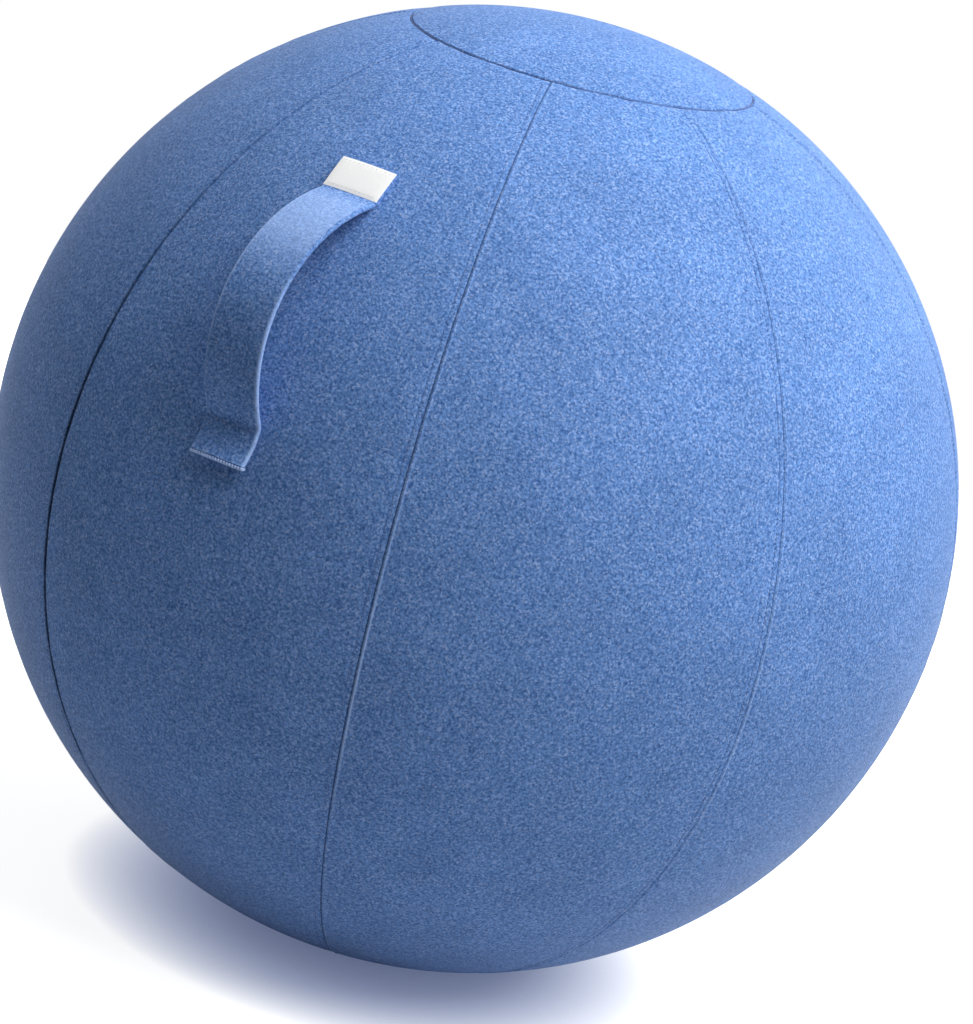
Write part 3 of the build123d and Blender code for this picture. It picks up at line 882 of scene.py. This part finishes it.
across = np.linspace(-half, half, 25)
polar = np.linspace(HANDLE_TOP - TAB, HANDLE_TOP - LABEL_SHORT / BALL, 18)
side = np.ones(len(polar))[:, None] * across
down = polar[:, None] * np.ones(len(across))
from_end = BALL * np.minimum(down - polar[0], polar[-1] - down)
from_edge = np.minimum(half - np.abs(side), from_end)
swell = LABEL_SWELL * np.clip(from_edge / LABEL_SWELL_REACH, 0, 1)
label_back = BALL + STRAP + 2 * SEAT
label = closed_panel(
    "label_bare",
    before_ball(down, label_back + LABEL + swell, side),
    before_ball(down, np.full(down.shape, label_back), side),
)
dress(label, label_weave)
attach(label, "cover")
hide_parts("handle_label")


# Strap stitches: two rows of white thread hold the label and the strap's upper end, and one row of
# blue thread runs beside the fold at the lower end.
STRAP_STITCHES = 11
STRAP_ROW_HALF = 0.0165
STRAP_STITCH = 0.0023
LABEL_THREAD = 0.0003
LABEL_ROW_HEIGHT = 0.0038
LABEL_ROW_INSETS = (0.002, 0.0035)
TAB_ROW_HEIGHT = 0.003
TAB_ROW_INSET = 0.003
# White polyester thread: bright filament with a slight sheen and a 0.8 mm mottle from its twist.
white_thread, tree = new_material("white_polyester_thread")
place = add(tree, "ShaderNodeTexCoord").outputs["Object"]
twist = add(tree, "ShaderNodeTexNoise", {"Vector": place, "Scale": 1 / 0.0008, "Detail": 2.0})
tone = add(
    tree,
    "ShaderNodeMix",
    {0: twist.outputs[0], 6: linear("#e0e2e4"), 7: linear("#f0f0ed")},
    data_type="RGBA",
)
surface = add(
    tree,
    "ShaderNodeBsdfPrincipled",
    {"Base Color": tone.outputs[2], "Roughness": 0.55, "Sheen Weight": 0.2},
)
add(tree, "ShaderNodeOutputMaterial", {"Surface": surface.outputs[0]})


def strap_row(polar, height):
    """A row of stitches across the strap: their places, and directions along the row and out."""
    x = np.linspace(-STRAP_ROW_HALF, STRAP_ROW_HALF, STRAP_STITCHES)
    radius = np.full(STRAP_STITCHES, BALL + height)
    spot = before_ball(np.full(STRAP_STITCHES, polar), radius, x)
    normal = spot - [0, 0, CENTRE]
    normal /= np.linalg.norm(normal, axis=1)[:, None]
    beside = lean[:, 0] - normal * (normal @ lean[:, 0])[:, None]
    return spot, beside / np.linalg.norm(beside, axis=1)[:, None], normal


upper_row = strap_row(HANDLE_TOP - TAB + LABEL_ROW_INSETS[0] / BALL, LABEL_ROW_HEIGHT)
lower_row = strap_row(HANDLE_TOP - LABEL_ROW_INSETS[1] / BALL, LABEL_ROW_HEIGHT)
both = [np.concatenate(pair) for pair in zip(upper_row, lower_row)]
label_sewing = stitches("label_sewing", *both, STRAP_STITCH, LABEL_THREAD)
dress(label_sewing, white_thread)
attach(label_sewing, "cover")
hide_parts("label_stitches")
tab_row = strap_row(HANDLE_FOOT + TAB_ROW_INSET / BALL, TAB_ROW_HEIGHT)
tab_sewing = stitches("tab_sewing", *tab_row, STRAP_STITCH, THREAD)
dress(tab_sewing, thread)
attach(tab_sewing, "cover")
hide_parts("tab_stitches")


# Overlocking: the strap's lower end is cut, and loops of pale thread wrap the cut edge so that it
# doesn't fray. The loops lie side by side along the end, which lifts off the ball with them.
LOOPS = 19
LOOP = 0.0021
LOOP_THICKNESS = 0.0026
LOOP_PAST_END = 0.0004
LOOP_HEIGHT = 0.0062
# Pale overlock thread: loose fluffy yarn, mottled light and mid blue at about 0.7 mm.
overlock_thread, tree = new_material("pale_overlock_thread")
place = add(tree, "ShaderNodeTexCoord").outputs["Object"]
twist = add(tree, "ShaderNodeTexNoise", {"Vector": place, "Scale": 1 / 0.0007, "Detail": 2.0})
tone = add(
    tree,
    "ShaderNodeMix",
    {0: twist.outputs[0], 6: linear("#5f86c6"), 7: linear("#b9cdf0")},
    data_type="RGBA",
)
relief = add(
    tree,
    "ShaderNodeBump",
    {"Height": twist.outputs[0], "Strength": 0.6, "Distance": 0.0002},
)
surface = add(
    tree,
    "ShaderNodeBsdfPrincipled",
    {
        "Base Color": tone.outputs[2],
        "Roughness": 0.6,
        "Sheen Weight": 0.3,
        "Normal": relief.outputs[0],
    },
)
add(tree, "ShaderNodeOutputMaterial", {"Surface": surface.outputs[0]})
x = (np.arange(LOOPS) - LOOPS // 2) * LOOP
cut_end = np.full(LOOPS, HANDLE_FOOT + TAB + LOOP_PAST_END / BALL)
spot = before_ball(cut_end, np.full(LOOPS, BALL + LOOP_HEIGHT), x)
normal = spot - [0, 0, CENTRE]
normal /= np.linalg.norm(normal, axis=1)[:, None]
beside = lean[:, 0] - normal * (normal @ lean[:, 0])[:, None]
overlocking = stitches("tab_overlocking", spot, beside, normal, LOOP, LOOP_THICKNESS)
dress(overlocking, overlock_thread)
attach(overlocking, "cover")


# Stage: a plain white floor under the ball, and a white surround behind it. The camera, gloss and
# clear pieces see both as white, but close under the ball, where little sky reaches the floor, its
# glow falls off as a painted shadow and turns bluish as a painted reflection of the blue ball, so
# that a shadow shows under it.
FLOOR_RADIUS = 1.7
FLOOR_SIDES = 96
SHADE_REACH = 0.06


def white_rays(tree):
    """One for the rays that see the white surround, from the camera, gloss and clear pieces."""
    rays = add(tree, "ShaderNodeLightPath")
    seen = rays.outputs["Is Camera Ray"]
    for kind in ("Is Glossy Ray", "Is Transmission Ray"):
        either = {0: seen, 1: rays.outputs[kind]}
        seen = add(tree, "ShaderNodeMath", either, operation="ADD").outputs[0]
    return seen


floor_paint, tree = new_material("white_floor")
# Painted shadow: ambient occlusion dims the floor's glow close under the ball.
open_sky = add(tree, "ShaderNodeAmbientOcclusion", {"Distance": SHADE_REACH}, samples=8)
sky_share = add(
    tree,
    "ShaderNodeMapRange",
    {"Value": open_sky.outputs["AO"], "To Min": 0.24, "To Max": 0.84},
)
glow_parts = {0: white_rays(tree), 1: sky_share.outputs[0]}
glow = add(tree, "ShaderNodeMath", glow_parts, operation="MULTIPLY")
paint = add(tree, "ShaderNodeBsdfDiffuse", {"Color": linear("#c6c6c6")})
# Painted reflection: the glow turns a pale blue under the ball, standing in for the light the blue
# ball throws onto the floor.
cast = add(
    tree,
    "ShaderNodeMix",
    {0: open_sky.outputs["AO"], 6: linear("#a8bcf4"), 7: linear("#ffffff")},
    data_type="RGBA",
)
light = add(tree, "ShaderNodeEmission", {"Color": cast.outputs[2], "Strength": glow.outputs[0]})
surface = add(tree, "ShaderNodeAddShader", {0: paint.outputs[0], 1: light.outputs[0]})
add(tree, "ShaderNodeOutputMaterial", {"Surface": surface.outputs[0]})
mesh = bpy.data.meshes.new("floor")
edge = []
for k in range(FLOOR_SIDES):
    a = k * math.tau / FLOOR_SIDES
    edge.append((FLOOR_RADIUS * math.cos(a), FLOOR_RADIUS * math.sin(a), 0))
mesh.from_pydata(edge, [], [tuple(range(FLOOR_SIDES))])
floor = bpy.data.objects.new("floor", mesh)
bpy.context.scene.collection.objects.link(floor)
dress(floor, floor_paint)

world = bpy.data.worlds.new("surround")
bpy.context.scene.world = world
world.use_nodes = True
tree = world.node_tree
tree.nodes.clear()
strength = add(
    tree,
    "ShaderNodeMapRange",
    {"Value": white_rays(tree), "To Min": 0.05, "To Max": 1.0},
)
sky = {"Color": linear("#ffffff"), "Strength": strength.outputs[0]}
white = add(tree, "ShaderNodeBackground", sky)
add(tree, "ShaderNodeOutputWorld", {"Surface": white.outputs[0]})

# Camera: from the strap's right, a little above the ball's middle, and tipped as the ball leans in
# its picture. The focal length and the aim beside the ball's centre are in pixels of the frame.
AZIMUTH = math.radians(30.18)
ELEVATION = math.radians(15.42)
ROLL = math.radians(14.04)
DISTANCE = 8.93 * BALL
FOCAL = 4298.3
AIM_RIGHT = 11.9
AIM_DOWN = 22.9
FRAME_HEIGHT = 1024
SENSOR = 36
ball_centre = Vector((0, 0, CENTRE))
level = Vector((math.cos(AZIMUTH), math.sin(AZIMUTH), 0))
towards = Vector((math.sin(AZIMUTH), -math.cos(AZIMUTH), 0))
back = towards * math.cos(ELEVATION) + Vector((0, 0, math.sin(ELEVATION)))
upright = back.cross(level)
right = level * math.cos(ROLL) + upright * math.sin(ROLL)
up = upright * math.cos(ROLL) - level * math.sin(ROLL)
position = ball_centre + back * DISTANCE
aim = ball_centre + right * (AIM_RIGHT / FOCAL * DISTANCE) - up * (AIM_DOWN / FOCAL * DISTANCE)
facing = (position - aim).normalized()
sideways = up.cross(facing).normalized()
camera_data = bpy.data.cameras.new("camera")
camera_data.lens = FOCAL * SENSOR / FRAME_HEIGHT
camera = bpy.data.objects.new("camera", camera_data)
bpy.context.scene.collection.objects.link(camera)
turned = Matrix((sideways, facing.cross(sideways), facing)).transposed().to_4x4()
camera.matrix_world = Matrix.Translation(position) @ turned
bpy.context.scene.camera = camera

# Lights: a broad soft box at the right, a weaker one above at the left, and a small one behind the
# right rim. Each has its direction, its size and distance in metres and its power in watts.
for name, way, size, distance, power in (
    ("soft_box", right * 0.67 + up * 0.59 + back * 0.42, 3.0, 2.65, 143),
    ("left_box", up * 0.9 - right * 0.48 - back * 0.1, 2.8, 2.8, 25),
    ("rim_box", right * 0.72 + up * 0.5 - back * 0.4, 2.0, 2.6, 18),
):
    lamp_data = bpy.data.lights.new(name, "AREA")
    lamp_data.shape = "DISK"
    lamp_data.size = size
    lamp_data.energy = power
    lamp = bpy.data.objects.new(name, lamp_data)
    bpy.context.scene.collection.objects.link(lamp)
    way = way.normalized()
    lamp.location = ball_centre + way * distance
    lamp.rotation_euler = way.to_track_quat("Z", "Y").to_euler()

bpy.context.scene.view_settings.view_transform = "Standard"
